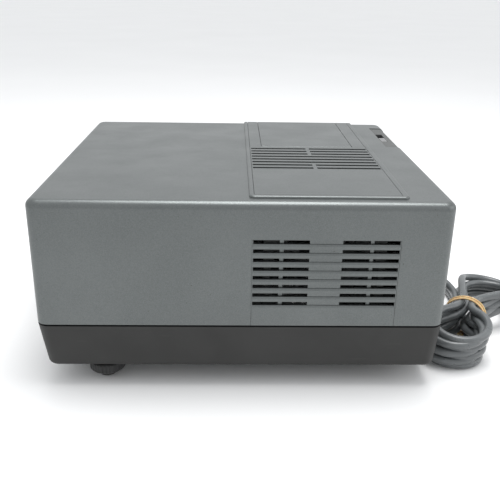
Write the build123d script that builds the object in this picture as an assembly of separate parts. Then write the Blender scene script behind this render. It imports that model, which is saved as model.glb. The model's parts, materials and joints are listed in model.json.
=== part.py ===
from build123d import *
import math
import os

# Slide projector with a straight tray. X runs from the lens (low) to the rear panel (high),
# Y from the ventilated side (low) to the slide tray side (high), and Z up from the table.
# Everything is built about the middle of the case; write() moves it so that the origin is
# under the middle of the whole projector, lens included.

# Case
CASE_L, CASE_W = 290.0, 273.0
Z_BASE, Z_SEAM, Z_TOP = 17.0, 51.2, 143.0
SEAM_GAP = 1.4
CORNER_R, TOP_R, BOTTOM_R = 8.5, 5.4, 4.0
WALL, BASE_WALL = 2.5, 2.8
LEAN_FRONT, LEAN_REAR, LEAN_SIDE = 4.8, 2.1, 2.4
X0, X1 = -CASE_L / 2, CASE_L / 2
Y0, Y1 = -CASE_W / 2, CASE_W / 2
GAP = 0.3

# Raised platform, lamp cover and hatch on the top
RISE = 1.6
Z_LID = Z_TOP + RISE
PLAT_X0, PLAT_X1, PLAT_Y0 = 4.5, 114.2, -126.5
LID_X0, LID_X1, LID_Y0 = 8.1, 109.3, -122.6
LID_T, SKIRT_T = 2.6, 3.0
LOUVRES, LOUVRE_PITCH, LOUVRE_W, LOUVRE_Y = 8, 9.2, 4.0, 12.9
BRIDGE_X0, BRIDGE_X1 = 56.0, 59.0
OPEN_ROWS = (3, 4, 5)
HATCH_X0, HATCH_X1, HATCH_Y0 = 18.0, 98.0, 21.6
HATCH_GAP, NOSE_R = 0.4, 1.3
HINGE_Y, HINGE_Z = HATCH_Y0 + GAP + NOSE_R, Z_LID - NOSE_R

# Switch plate and power rocker
PLATE_BOX = (130.0, 146.0, 30.5, 112.5)
PLATE_Z, PLATE_SINK = 133.0, 0.6
ROCKER_X0, ROCKER_X1, ROCKER_Y0, ROCKER_Y1 = 130.9, 137.0, 55.0, 86.0
ROCKER_SLOPE, ROCKER_DROP = 12.0, 1.6
ROCKER_Y = (ROCKER_Y0 + ROCKER_Y1) / 2
ROCKER_Z = Z_TOP - PLATE_SINK - ROCKER_DROP

# Side grille
GRILLE_X0, GRILLE_X1, GRILLE_TOP = 6.8, 108.2, 116.6
SLOT_ROWS, SLOT_PITCH, SLOT_H, SLOT_TOP = 8, 6.56, 2.9, 116.5
SLOT_POCKET, BLIND_DEPTH = 2.0, 0.9
BAR_CREASE, BAR_SLOPE = 1.9, 0.45
SLOT_GROUPS = ((7.4, 25.6), (28.3, 46.0), (68.6, 87.7), (90.2, 107.6))

# Tray channel and optical axis
AXIS_Y, AXIS_Z = 38.0, 92.0
CHANNEL_Y, CHANNEL_FLOOR, CHANNEL_TOP = 68.5, 57.0, 122.0
CHANNEL_WALL, CHANNEL_ROOF = 2.5, 2.5
GATE_X = -12.0
TRAY_GEAR_X, TRAY_GEAR_Z = 24.0, 47.0

# Lens and its drive
BARREL_R, BARREL_X0, BARREL_X1 = 21.25, -163.0, -82.0
RACK_MODULE, RACK_LOW = 0.75, 24.5
FOCUS_TEETH = 16
RACK_COUNT = 15
RACK_MID = -106.0
RACK_X0 = RACK_MID - RACK_COUNT * math.pi * RACK_MODULE / 2 - 0.5
RACK_X1 = RACK_MID + RACK_COUNT * math.pi * RACK_MODULE / 2 + 0.5
FOCUS_PITCH_R = FOCUS_TEETH * RACK_MODULE / 2
FOCUS_Z = AXIS_Z - RACK_LOW + 0.75 * RACK_MODULE - FOCUS_PITCH_R

# Lamp and transformer
LAMP_X = 52.0
CORE = (82.0, 116.0, -56.0, -4.0, 26.0, 106.0)

# Slide changer
STROKE = 60.0
GEAR_MODULE = 1.0
GEAR_TEETH, PINION_TEETH = 32, 10
RACK_X = GATE_X - 4.0
GEAR_Y, GEAR_Z0, GEAR_T = 30.0, 31.0, 4.0
RACK_TEETH = 23
GEAR_X = RACK_X - 1.2 * GEAR_MODULE - GEAR_MODULE * GEAR_TEETH / 2
PINION_X = GEAR_X - GEAR_MODULE * (GEAR_TEETH + PINION_TEETH) / 2
FACING = ((GEAR_Y - (GEAR_Y + STROKE / 2)) / (math.pi * GEAR_MODULE)) % 1
GUIDE_YS = (10.0, 70.0)

# Control board
BOARD = (-88.0, -4.0, -126.0, -40.0, 26.0, 27.6)

# Feet
FOOT_X, FOOT_Y, WHEEL_R = -100.0, 117.0, 13.2
REAR_FOOT_X, REAR_FOOT_Y, REAR_FOOT_R = 104.0, 86.0, 9.0
SCREW_PLACES = ((-122, -60), (-76.5, 58), (122, -100), (122, 60))

# Fan
FAN_X, FAN_Z, FAN_Y0, FAN_DEPTH, FAN_R = 58.0, 84.0, -127.0, 27.0, 37.0

# Rear panel
PANEL_Y0, PANEL_Y1, PANEL_Z0, PANEL_Z1 = -34.0, 52.0, 74.0, 118.0
BUTTON_R, BUTTON_Z = 5.4, 106.0
BUTTON_PLACES = {"reverse_button": -22.0, "forward_button": -4.0, "focus_out_button": 22.0,
                 "focus_in_button": 40.0}
SOCKET_Y, SOCKET_Z, SOCKET_R, SOCKET_DEPTH = -13.0, 87.0, 6.8, 9.0
FUSE_Y, FUSE_Z, FUSE_R = 31.0, 87.0, 7.0

# Mains lead
CORD_D = 6.5
GLAND_Y, GLAND_Z, POCKET_X, BOOT_END = 12.0, 37.0, 122.0, 144.0
HANK_X, HANK_Y, HANK_AZ = 190.0, -55.0, 62.2
PLUG_X, PLUG_Y0, PLUG_Z, PLUG_R, PLUG_L = 178.0, 80.0, 18.2, 17.6, 33.0

# Corners of the lead's route, from the gland to the hank and from the hank to the plug
LEAD = ((144, 12, 37), (160, 12, 36), (175, 5.5, 33), (186, -6.5, 28.5), (190.5, -22, 24),
        (187.5, -38, 21))
TAIL = ((198, -27, 14), (199.5, -9, 9), (201.5, 9, 5), (201.5, 27, 4.6), (196, 45, 7.5), (187, 62, 13.5),
        (178, 80, 18.2))

# The hank's outline: distance along it, across it, width, height and middle height
HANK_SECTIONS = ((-64, 0, 10, 14, 9.5), (-58, 0, 32, 26, 15), (-36, 0, 49, 34, 19.4),
                 (-16, 0, 41, 35, 19.2), (0, 0, 34, 35, 18.6), (16, -4, 40, 35, 19.2),
                 (36, -12.5, 47, 36, 20), (58, -15, 38, 29, 18), (66, -15, 12, 15, 15))

CASE_X = (X1 - BARREL_X0) / 2 - X1


def block(x0, x1, y0, y1, z0, z1):
    """A box between two corners."""
    return Pos((x0 + x1) / 2, (y0 + y1) / 2, (z0 + z1) / 2) * Box(x1 - x0, y1 - y0, z1 - z0)


def rod_x(x0, x1, y, z, r):
    """A round bar along X."""
    return Pos((x0 + x1) / 2, y, z) * Rot(0, 90, 0) * Cylinder(r, x1 - x0)


def rod_y(y0, y1, x, z, r):
    """A round bar along Y."""
    return Pos(x, (y0 + y1) / 2, z) * Rot(90, 0, 0) * Cylinder(r, y1 - y0)


def rod_z(z0, z1, x, y, r):
    """A round bar along Z."""
    return Pos(x, y, (z0 + z1) / 2) * Cylinder(r, z1 - z0)


def cone_z(z0, z1, x, y, r0, r1):
    """A round taper along Z."""
    return Pos(x, y, (z0 + z1) / 2) * Cone(r0, r1, z1 - z0)


def write(node, shape):
    """Moves a finished piece to the projector's frame and writes its STEP file."""
    moved = Pos(CASE_X, 0, 0) * shape
    moved.label = node
    export_step(moved, f"parts/{node}.step")


def case_block(inset, z0, z1):
    """The cover's rounded outline, drawn in by inset all round, with its top at z1."""
    body = block(X0 + inset, X1 - inset, Y0 + inset, Y1 - inset, z0, z1)
    body = fillet(body.edges().filter_by(Axis.Z), CORNER_R - inset)
    return fillet(body.faces().sort_by(Axis.Z)[-1].edges(), TOP_R - inset)


def gear(teeth, module, thickness, phase=0.0):
    """A spur gear about Z on z = 0, with a tooth centred at the angle phase in degrees."""
    pitch_r = module * teeth / 2
    root_r, tip_r = pitch_r - 1.2 * module, pitch_r + 0.75 * module
    half_pitch = 0.21 * math.pi * module
    half_root = half_pitch + 0.26 * module
    half_tip = half_pitch - 0.30 * module
    tooth = Polygon((root_r - 0.3, -half_root), (root_r, -half_root), (tip_r, -half_tip),
                    (tip_r, half_tip), (root_r, half_root), (root_r - 0.3, half_root), align=None)
    outline = Circle(root_r)
    for number in range(teeth):
        outline += Rot(0, 0, phase + number * 360 / teeth) * tooth
    return extrude(outline, thickness)


def rack_teeth(count, module):
    """Rack teeth in a row along X, centred on x = 0, pointing to +Y from a root line at y = 0."""
    pitch = math.pi * module
    depth = 1.95 * module
    half_root, half_tip = 0.21 * pitch + 0.42 * module, 0.21 * pitch - 0.28 * module
    outline = Sketch()
    for number in range(count):
        middle = (number - (count - 1) / 2) * pitch
        outline += Polygon((middle - half_root, -0.2), (middle + half_root, -0.2),
                           (middle + half_tip, depth), (middle - half_tip, depth), align=None)
    return outline


# ---- Casing -----------------------------------------------------------------------------------

def base_shape(inset, z0, z1, edge_r):
    """The base's leaning outline between two heights, drawn in by inset."""
    def outline(z):
        share = (Z_SEAM - z) / (Z_SEAM - Z_BASE)
        x0, x1 = X0 + inset + LEAN_FRONT * share, X1 - inset - LEAN_REAR * share
        side = inset + LEAN_SIDE * share
        face = RectangleRounded(x1 - x0, CASE_W - 2 * side, CORNER_R - inset)
        return Pos((x0 + x1) / 2, 0, z) * face
    body = loft([outline(z0), outline(z1)], ruled=True)
    return fillet(body.faces().sort_by(Axis.Z)[0].edges(), edge_r)


def rim_ring(outer, inner, z0, z1):
    """A ring that follows the case's outline between two insets and two heights."""
    ring = RectangleRounded(CASE_L - 2 * outer, CASE_W - 2 * outer, CORNER_R - outer)
    ring -= RectangleRounded(CASE_L - 2 * inner, CASE_W - 2 * inner, CORNER_R - inner)
    return extrude(Pos(0, 0, z0) * ring, z1 - z0)


def base_tray():
    """The black lower shell, with its foot bosses, air slots and the pocket for the lead."""
    rim = Z_SEAM - SEAM_GAP / 2
    body = base_shape(0, Z_BASE, rim, BOTTOM_R)
    body -= base_shape(BASE_WALL, Z_BASE + BASE_WALL, rim + 1, 1.5)
    body += rim_ring(WALL - 0.5, WALL + 2.2, rim - 3, rim)
    lip = rim_ring(WALL + 0.4, WALL + 2.2, rim - 1, rim + 4.5)
    lip -= block(X0, X1, CHANNEL_Y - 6, Y1, rim, rim + 10)
    lip -= block(GRILLE_X0 - 5, GRILLE_X1 + 5, Y0, Y0 + 8, rim, rim + 10)
    body += lip
    for y in (-FOOT_Y, FOOT_Y):
        body += rod_z(Z_BASE + 1, 48, FOOT_X, y, 9)
        body -= rod_z(Z_BASE - 1, 44, FOOT_X, y, 5.3)
    for y in (-REAR_FOOT_Y, REAR_FOOT_Y):
        body += rod_z(Z_BASE + 1, 26, REAR_FOOT_X, y, 6)
        body -= rod_z(Z_BASE - 1, 24, REAR_FOOT_X, y, 1.9)
    for number in range(9):
        x = 20 + number * 8.5
        body -= block(x, x + 4, -60, 10, Z_BASE - 1, Z_BASE + 4)
    pocket = block(POCKET_X - 2, X1 - 1, GLAND_Y - 15, GLAND_Y + 15, 23, 49.5)
    pocket &= base_shape(1.0, Z_BASE, rim, BOTTOM_R)
    body += pocket
    body -= block(POCKET_X, X1 + 2, GLAND_Y - 12.5, GLAND_Y + 12.5, 25, 47)
    body -= rod_x(POCKET_X - 5, POCKET_X + 1, GLAND_Y, GLAND_Z, 5.0)
    for x, y in SCREW_PLACES:
        body += rod_z(Z_BASE + 1, 46, x, y, 4.5)
        body -= rod_z(Z_BASE - 1, 47, x, y, 2.2)
        body -= rod_z(Z_BASE - 1, Z_BASE + 2.2, x, y, 4.2)
    return body


def top_cover():
    """The silver cover: one shell with its platform, openings and screw posts."""
    skirt = Z_SEAM + SEAM_GAP / 2
    body = case_block(0, skirt, Z_TOP)
    raised = case_block(0, skirt, Z_LID) & block(PLAT_X0, PLAT_X1, PLAT_Y0, Y1 + 1, Z_TOP - 8, Z_LID)
    raised = fillet(raised.edges().filter_by(Axis.Z).sort_by(Axis.Y)[:2], 4.0)
    rim = raised.edges().filter_by_position(Axis.Z, Z_LID - 0.01, Z_LID + 0.01)
    rim = rim.filter_by(lambda edge: edge.center().Y < Y1 - TOP_R - 1)
    body += fillet(rim, RISE - 0.1)
    body -= case_block(WALL, skirt - 1, Z_TOP - WALL)
    body -= block(LID_X0 - GAP, LID_X1 + GAP, LID_Y0 - 0.2, Y1 - TOP_R, Z_LID - LID_T - 0.1, Z_LID + 1)
    body -= block(LID_X0 - GAP, LID_X1 + GAP, Y1 - TOP_R - 1, Y1 + 1, CHANNEL_TOP + 2, Z_LID + 1)
    body -= block(LID_X0 + 4, LID_X1 - 4, LID_Y0 + 4, Y1 - TOP_R, Z_TOP - 6, Z_LID + 1)
    body -= block(GRILLE_X0 - 0.2, GRILLE_X1 + 0.2, Y0 - 1, Y0 + 5, skirt - 1, GRILLE_TOP + 0.1)
    roof = CHANNEL_TOP + CHANNEL_ROOF + 2
    body -= block(X0 - 1, X1 + 1, CHANNEL_Y - CHANNEL_WALL - GAP, Y1 + 1, skirt - 1, roof)
    body -= rod_x(X0 - 1, X0 + 5, AXIS_Y, AXIS_Z, 26)
    body -= block(X1 - 5, X1 + 1, PANEL_Y0, PANEL_Y1, PANEL_Z0, PANEL_Z1)
    body -= block(*PLATE_BOX[0:4], PLATE_Z, Z_LID)
    for x, y in SCREW_PLACES:
        top = rod_z(46.3, Z_TOP - 1, x, y, 4.2)
        body += top - rod_z(45, 70, x, y, 1.6)
    return body


def vent_panel():
    """The grille panel in the ventilated side: eight rows of slots, each with two posts set back in it."""
    skirt = Z_SEAM + SEAM_GAP / 2
    skin = block(GRILLE_X0, GRILLE_X1, Y0, Y0 + WALL + 1.6, skirt, GRILLE_TOP - 0.1)
    frame = block(GRILLE_X0 - 4, GRILLE_X1 + 4, Y0 + WALL + 0.1, Y0 + WALL + 1.6, skirt + 4, GRILLE_TOP + 4)
    first, last = SLOT_GROUPS[0][0], SLOT_GROUPS[-1][1]
    cuts = []
    for row in range(SLOT_ROWS):
        top = SLOT_TOP - row * SLOT_PITCH
        low = top - SLOT_H
        for x0, x1 in SLOT_GROUPS:
            cuts.append(block(x0, x1, Y0 - 1, Y0 + WALL + 3, low, top))
        for left, right in (SLOT_GROUPS[:2], SLOT_GROUPS[2:]):
            cuts.append(block(left[0], right[1], Y0 - 1, Y0 + SLOT_POCKET, low, top))
        cuts.append(block(first, last, Y0 - 1, Y0 + BLIND_DEPTH, low, top))
        wedge = Polygon((Y0 - 0.1, low - BAR_CREASE), (Y0 - 0.1, low + 0.1), (Y0 + BAR_SLOPE, low + 0.1),
                        align=None)
        cuts.append(Pos(first, 0, 0) * extrude(Plane.YZ * wedge, last - first, dir=(1, 0, 0)))
    return skin + frame - cuts


def lamp_cover():
    """The louvred lid over the lamp house, wrapping over the far edge, less its hatch."""
    body = case_block(0, Z_SEAM, Z_LID) & block(LID_X0, LID_X1, LID_Y0, Y1 + 1, CHANNEL_TOP + 6, Z_LID)
    body -= block(LID_X0 - 1, LID_X1 + 1, LID_Y0 - 1, Y1 - SKIRT_T, Z_BASE, Z_LID - LID_T)
    for row in range(LOUVRES):
        y = LOUVRE_Y - row * LOUVRE_PITCH
        low, high = y - LOUVRE_W / 2, y + LOUVRE_W / 2
        x0, x1 = LID_X0 + 0.8, LID_X1 - 0.8
        if row in OPEN_ROWS:
            body -= block(x0, x1, low, high, Z_LID - LID_T - 1, Z_LID + 1)
        else:
            body -= block(x0, BRIDGE_X0, low, high, Z_LID - LID_T - 1, Z_LID + 1)
            body -= block(BRIDGE_X1, x1, low, high, Z_LID - LID_T - 1, Z_LID + 1)
    for x in (25, 57.5, 90):
        body += block(x - 1, x + 1, LOUVRE_Y - 7.5 * LOUVRE_PITCH, LOUVRE_Y + 5.5, Z_LID - LID_T - 2.4,
                      Z_LID - LID_T + 0.01)
    body -= block(HATCH_X0, HATCH_X1, HATCH_Y0, Y1 + 1, Z_SEAM, Z_LID + 1)
    body -= rod_x(HATCH_X0 - 2, HATCH_X1 + 2, HINGE_Y, HINGE_Z, 0.75)
    return body


def lamp_hatch():
    """The hatch in the lid: a flap hinged along its inner edge on two short pins."""
    x0, x1 = HATCH_X0 + HATCH_GAP, HATCH_X1 - HATCH_GAP
    body = case_block(0, Z_SEAM, Z_LID) & block(x0, x1, HINGE_Y, Y1 + 1, CHANNEL_TOP + 6, Z_LID)
    body -= block(x0 - 1, x1 + 1, HINGE_Y - 1, Y1 - SKIRT_T, Z_BASE, Z_LID - LID_T)
    body += rod_x(x0, x1, HINGE_Y, HINGE_Z, NOSE_R)
    body += rod_x(HATCH_X0 - 1.6, HATCH_X1 + 1.6, HINGE_Y, HINGE_Z, 0.7)
    for x in (38, 58, 78):
        body += block(x - 0.8, x + 0.8, HINGE_Y + 4, Y1 - SKIRT_T - 8, Z_LID - LID_T - 2, Z_LID - LID_T + 0.01)
    return body


# ---- Power switch -------------------------------------------------------------------------------


def switch_plate():
    """The dark plate let into the rear corner of the top, wrapping down the rear edge."""
    x0, x1, y0, y1 = PLATE_BOX
    shell = case_block(PLATE_SINK, PLATE_Z - 8, Z_TOP - PLATE_SINK)
    shell -= case_block(PLATE_SINK + 2.0, PLATE_Z - 9, Z_TOP - PLATE_SINK - 2.0)
    body = shell & block(x0 + 0.2, x1, y0 + 0.2, y1 - 0.2, PLATE_Z + 0.2, Z_TOP)
    body -= block(ROCKER_X0, ROCKER_X1, ROCKER_Y0, ROCKER_Y1, Z_TOP - 9, Z_TOP + 1)
    return body


def power_rocker():
    """The rocker: two flat halves that meet over its pivot, far half pressed in."""
    reach = (ROCKER_Y1 - ROCKER_Y0) / 2 - 0.45
    fall = reach * math.sin(math.radians(ROCKER_SLOPE))
    far = reach * math.cos(math.radians(ROCKER_SLOPE))
    depth = 5.5
    outline = Polygon((-reach, ROCKER_DROP), (0, ROCKER_DROP), (far, ROCKER_DROP - fall),
                      (far - 1.0, ROCKER_DROP - fall - 3.2), (3, -depth), (-3, -depth),
                      (-reach + 0.8, -2.0), align=None)
    body = extrude(Plane.YZ * outline, ROCKER_X1 - ROCKER_X0 - 0.6, dir=(1, 0, 0))
    body = Pos(ROCKER_X0 + 0.3, ROCKER_Y, ROCKER_Z) * body
    return body - rod_x(ROCKER_X0, ROCKER_X1, ROCKER_Y, ROCKER_Z - 2.2, 1.05)


def switch_body():
    """The switch block under the plate, with the pivot pin that the rocker turns on."""
    top = Z_TOP - PLATE_SINK - 2.05
    body = block(ROCKER_X0 - 3.5, ROCKER_X1 + 3.0, ROCKER_Y0 - 2, ROCKER_Y1 + 2, top - 13.5, top)
    body -= block(ROCKER_X0, ROCKER_X1, ROCKER_Y0, ROCKER_Y1, top - 10, top + 1)
    body += rod_x(ROCKER_X0 - 1, ROCKER_X1 + 1, ROCKER_Y, ROCKER_Z - 2.2, 1.0)
    for y in (ROCKER_Y0 + 1, ROCKER_Y0 + 7):
        body += block(ROCKER_X0 + 2.4, ROCKER_X0 + 3.2, y - 2, y + 2, top - 22, top - 13)
    return body


# ---- Tray channel -------------------------------------------------------------------------------

def tray_channel():
    """The open-sided trough that the slide tray runs in: floor, inner wall, roof and outer lip."""
    low, inner = Z_SEAM + 1.0, CHANNEL_Y - CHANNEL_WALL
    floor = block(X0, X1, inner, Y1, CHANNEL_FLOOR - 3, CHANNEL_FLOOR)
    lip = block(X0, X1, Y1 - 3, Y1, low, CHANNEL_FLOOR + 5)
    floor = (floor + lip) & case_block(0.2, Z_SEAM, Z_TOP)
    wall = block(X0 + 1, X1 - 1, inner, CHANNEL_Y, low, CHANNEL_TOP + CHANNEL_ROOF)
    roof = block(X0 + 3, X1 - 3, inner, Y1 - 4, CHANNEL_TOP, CHANNEL_TOP + CHANNEL_ROOF)
    body = floor + wall + roof
    body -= block(GATE_X - 3.5, GATE_X + 3.5, inner - 1, Y1 - 3.5, CHANNEL_FLOOR - 4, CHANNEL_FLOOR + 1)
    body -= block(GATE_X - 4, GATE_X + 4, inner - 1, CHANNEL_Y + 1, CHANNEL_FLOOR - 6, CHANNEL_TOP)
    body -= block(TRAY_GEAR_X - 13, TRAY_GEAR_X + 13, CHANNEL_Y + 7, CHANNEL_Y + 15, CHANNEL_FLOOR - 4,
                  CHANNEL_FLOOR + 1)
    for x in (-100, -50, 50, 100):
        body += block(x - 1, x + 1, inner + 1, Y1 - 8, CHANNEL_TOP + CHANNEL_ROOF - 0.01,
                      CHANNEL_TOP + CHANNEL_ROOF + 1.5)
    return body


def tray_gear():
    """The toothed wheel that moves the tray on by one slide, with its shaft."""
    wheel = gear(16, 1.25, 5.0)
    shaft = Pos(0, 0, -12) * extrude(Circle(2.0), 26)
    return Pos(TRAY_GEAR_X, CHANNEL_Y + 13.5, TRAY_GEAR_Z) * Rot(90, 0, 0) * (wheel + shaft)


# ---- Lens and focus drive -----------------------------------------------------------------------

def lens_barrel():
    """The lens tube with the focusing rack along its underside."""
    body = rod_x(BARREL_X0, BARREL_X1, AXIS_Y, AXIS_Z, BARREL_R)
    body -= rod_x(BARREL_X0 - 1, BARREL_X1 + 1, AXIS_Y, AXIS_Z, 17.0)
    body -= rod_x(BARREL_X0 - 1, BARREL_X0 + 9, AXIS_Y, AXIS_Z, 19.0)
    body -= rod_x(BARREL_X1 - 7, BARREL_X1 + 1, AXIS_Y, AXIS_Z, 18.5)
    body += block(RACK_X0, RACK_X1, AXIS_Y - 2.5, AXIS_Y + 2.5, AXIS_Z - RACK_LOW + 1.95 * RACK_MODULE,
                  AXIS_Z - 19)
    teeth = extrude(rack_teeth(RACK_COUNT, RACK_MODULE), 2.5, both=True)
    place = Pos((RACK_X0 + RACK_X1) / 2, AXIS_Y, AXIS_Z - RACK_LOW + 1.95 * RACK_MODULE)
    body += place * Rot(-90, 0, 0) * teeth
    return body


def glass(x, r, bulge, edge):
    """A biconvex lens about the optical axis, centred at x."""
    tip, rim = edge / 2 + bulge, edge / 2
    ball_r = (r * r + bulge * bulge) / (2 * bulge)
    slope = r / 2
    sag = tip - ball_r + math.sqrt(ball_r ** 2 - slope ** 2)
    right = ThreePointArc((tip, 0), (sag, slope), (rim, r))
    left = ThreePointArc((-rim, r), (-sag, slope), (-tip, 0))
    outline = [right, Line((rim, r), (-rim, r)), left, Line((-tip, 0), (tip, 0))]
    return Pos(x, AXIS_Y, AXIS_Z) * revolve(make_face(outline), Axis.X)


def focus_ring():
    """The knurled ring round the barrel that is turned by hand to focus."""
    body = rod_x(-156.5, -147.6, AXIS_Y, AXIS_Z, 26.0)
    ribs = []
    for number in range(36):
        angle = math.radians(number * 10)
        y, z = AXIS_Y + 26.3 * math.cos(angle), AXIS_Z + 26.3 * math.sin(angle)
        ribs.append(rod_x(-158, -149.2, y, z, 1.0))
    body -= ribs
    body += rod_x(-148.0, -139.5, AXIS_Y, AXIS_Z, 23.1)
    return body - rod_x(-160, -130, AXIS_Y, AXIS_Z, BARREL_R + 0.3)


def lens_bezel():
    """The black surround in the front wall that the focus ring turns in."""
    body = rod_x(X0 - 1.4, X0, AXIS_Y, AXIS_Z, 30.0) + rod_x(X0 - 1, X0 + 4.5, AXIS_Y, AXIS_Z, 25.7)
    return body - rod_x(X0 - 3, X0 + 6, AXIS_Y, AXIS_Z, 23.16)


def lens_holder():
    """The block that the barrel slides in, slotted underneath for the rack and its pinion."""
    body = block(-132, -92, 12, 64, 50, 118)
    body = fillet(body.edges().filter_by(Axis.X).group_by(Axis.Z)[-1], 10)
    body -= rod_x(-140, -80, AXIS_Y, AXIS_Z, BARREL_R + 0.06)
    body -= block(-140, -80, AXIS_Y - 3.2, AXIS_Y + 3.2, FOCUS_Z - 8, AXIS_Z - 15)
    body -= rod_y(5, AXIS_Y, RACK_MID, FOCUS_Z, 3.2)
    body -= rod_y(AXIS_Y, 70, RACK_MID, FOCUS_Z, 1.55)
    body += block(-138, -86, 16, 60, 47, 51)
    for x in (-126, -98):
        for y in (20, 56):
            body += rod_z(19.9, 48, x, y, 4)
    return body


def focus_pinion():
    """The small gear under the lens rack, on the focus motor's shaft."""
    wheel = gear(FOCUS_TEETH, RACK_MODULE, 4.0, 90 + 180 / FOCUS_TEETH)
    shaft = Pos(0, 0, -14) * extrude(Circle(1.5), 38)
    return Pos(RACK_MID, AXIS_Y + 2, FOCUS_Z) * Rot(90, 0, 0) * (wheel + shaft)


def focus_motor():
    """The focus motor beside the lens holder, with its shaft hole and flange."""
    body = rod_y(-20, 11, RACK_MID, FOCUS_Z, 11) + rod_y(8, 11.9, RACK_MID, FOCUS_Z, 13)
    body -= rod_y(6, 13, RACK_MID, FOCUS_Z, 1.56)
    return body + rod_y(-23, -20, RACK_MID, FOCUS_Z, 4)


# ---- Light path ---------------------------------------------------------------------------------

def slide_gate():
    """The gate that stands the slide in the light, with its rails and picture window."""
    body = block(GATE_X - 4.5, GATE_X - 2.0, 8, 63.5, 52, 124)
    body += block(GATE_X - 4.5, GATE_X + 4, 8, 11.5, 60, 122)
    body += block(GATE_X - 4.5, GATE_X + 1.5, 8, 63.5, 62, 65.5)
    body += block(GATE_X - 4.5, GATE_X + 1.5, 8, 63.5, 118.5, 121)
    body += block(GATE_X - 10, GATE_X - 2.0, 8, 63.5, 49.5, 52.5)
    body -= block(GATE_X - 6, GATE_X + 5, AXIS_Y - 19, AXIS_Y + 19, AXIS_Z - 19, AXIS_Z + 19)
    return body


def pressure_plate():
    """The sprung plate that holds the slide flat against the gate."""
    body = block(GATE_X + 2.2, GATE_X + 3.4, 13, 62, 68, 117)
    body -= block(GATE_X, GATE_X + 5, AXIS_Y - 20, AXIS_Y + 20, AXIS_Z - 20, AXIS_Z + 20)
    for y in (14.5, 60.5):
        body += block(GATE_X + 3.4, GATE_X + 8.5, y - 1.2, y + 1.2, 88, 96)
    return body


def lamp_house():
    """The sheet metal box round the lamp, open above, with side slots and a lens window."""
    x0, x1, y0, y1, z0, z1 = -3, 86, 5, 64, 49, 126
    body = block(x0, x1, y0, y1, z0, z1) - block(x0 + 1.2, x1 - 1.2, y0 + 1.2, y1 - 1.2, z0 + 1.2, z1 + 1)
    body -= rod_x(x0 - 1, x0 + 2, AXIS_Y, AXIS_Z, 24)
    for number in range(6):
        z = 62 + number * 9
        body -= block(22, 78, y0 - 1, y0 + 2, z, z + 4)
    for x in (x0 + 6, x1 - 6):
        for y in (y0 + 6, y1 - 6):
            body += rod_z(19.9, z0 + 0.5, x, y, 3.5)
    return body


def optics_frame():
    """The folded bracket in the lamp house that carries the filter and both condensers."""
    body = block(-1.4, 40, 7, 62, 50.4, 52)
    for x in (2.0, 12.0, 27.0):
        plate = block(x, x + 1.6, 8, 61.5, 51.5, 121)
        body += plate - rod_x(x - 1, x + 3, AXIS_Y, AXIS_Z, 21.5)
    return body


def heat_filter():
    """The square heat-absorbing glass in front of the condensers."""
    return block(4.2, 7.2, AXIS_Y - 24, AXIS_Y + 24, AXIS_Z - 26, AXIS_Z + 26)


def lamp():
    """The halogen capsule: bulb, pinch and two pins."""
    body = rod_z(AXIS_Z - 9, AXIS_Z + 7, LAMP_X, AXIS_Y, 6)
    body += Pos(LAMP_X, AXIS_Y, AXIS_Z + 7) * Sphere(6)
    body += block(LAMP_X - 6, LAMP_X + 6, AXIS_Y - 2, AXIS_Y + 2, AXIS_Z - 20, AXIS_Z - 8)
    for y in (AXIS_Y - 3.2, AXIS_Y + 3.2):
        body += block(LAMP_X - 0.5, LAMP_X + 0.5, y - 0.5, y + 0.5, AXIS_Z - 28, AXIS_Z - 19)
    body += block(LAMP_X - 0.5, LAMP_X + 0.5, AXIS_Y - 3.7, AXIS_Y + 3.7, AXIS_Z - 21, AXIS_Z - 19.5)
    return body


def lamp_socket():
    """The ceramic lamp holder on its foot."""
    body = block(LAMP_X - 8, LAMP_X + 8, AXIS_Y - 9, AXIS_Y + 9, AXIS_Z - 34, AXIS_Z - 21.2)
    for y in (AXIS_Y - 3.2, AXIS_Y + 3.2):
        body -= block(LAMP_X - 0.7, LAMP_X + 0.7, y - 0.7, y + 0.7, AXIS_Z - 30, AXIS_Z - 20)
    body += block(LAMP_X - 11, LAMP_X + 11, AXIS_Y - 12, AXIS_Y + 12, 50.4, AXIS_Z - 33.5)
    return body


def reflector():
    """The spherical mirror behind the lamp on its stem."""
    shell = Pos(LAMP_X - 4, AXIS_Y, AXIS_Z) * (Sphere(26) - Sphere(24.6))
    shell &= rod_x(LAMP_X + 9, LAMP_X + 30, AXIS_Y, AXIS_Z, 21)
    stem = block(LAMP_X + 16.5, LAMP_X + 18.5, AXIS_Y - 5, AXIS_Y + 5, 50.4, AXIS_Z - 12)
    return shell + stem + block(LAMP_X + 13, LAMP_X + 26, AXIS_Y - 8, AXIS_Y + 8, 50.4, 52)


# ---- Fan ----------------------------------------------------------------------------------------

def fan_housing():
    """The square fan frame behind the grille, with the arms that carry the motor."""
    half = FAN_R + 6
    y1 = FAN_Y0 + FAN_DEPTH
    body = block(FAN_X - half, FAN_X + half, FAN_Y0, y1, FAN_Z - half, FAN_Z + half)
    body = fillet(body.edges().filter_by(Axis.Y), 6)
    body -= rod_y(FAN_Y0 - 1, y1 + 1, FAN_X, FAN_Z, FAN_R + 1.5)
    for angle in (30, 150, 270):
        arm = block(0, FAN_R + 3, y1 - 2, y1, -3.5, 3.5)
        body += Pos(FAN_X, 0, FAN_Z) * Rot(0, -angle, 0) * arm
    body += rod_y(y1 - 2, y1, FAN_X, FAN_Z, 20)
    body -= rod_y(y1 - 4, y1 + 1, FAN_X, FAN_Z, 2.6)
    for x in (FAN_X - 30, FAN_X + 30):
        body += block(x - 5, x + 5, FAN_Y0 + 4, FAN_Y0 + 20, 19.9, FAN_Z - half + 0.5)
    return body


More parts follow.
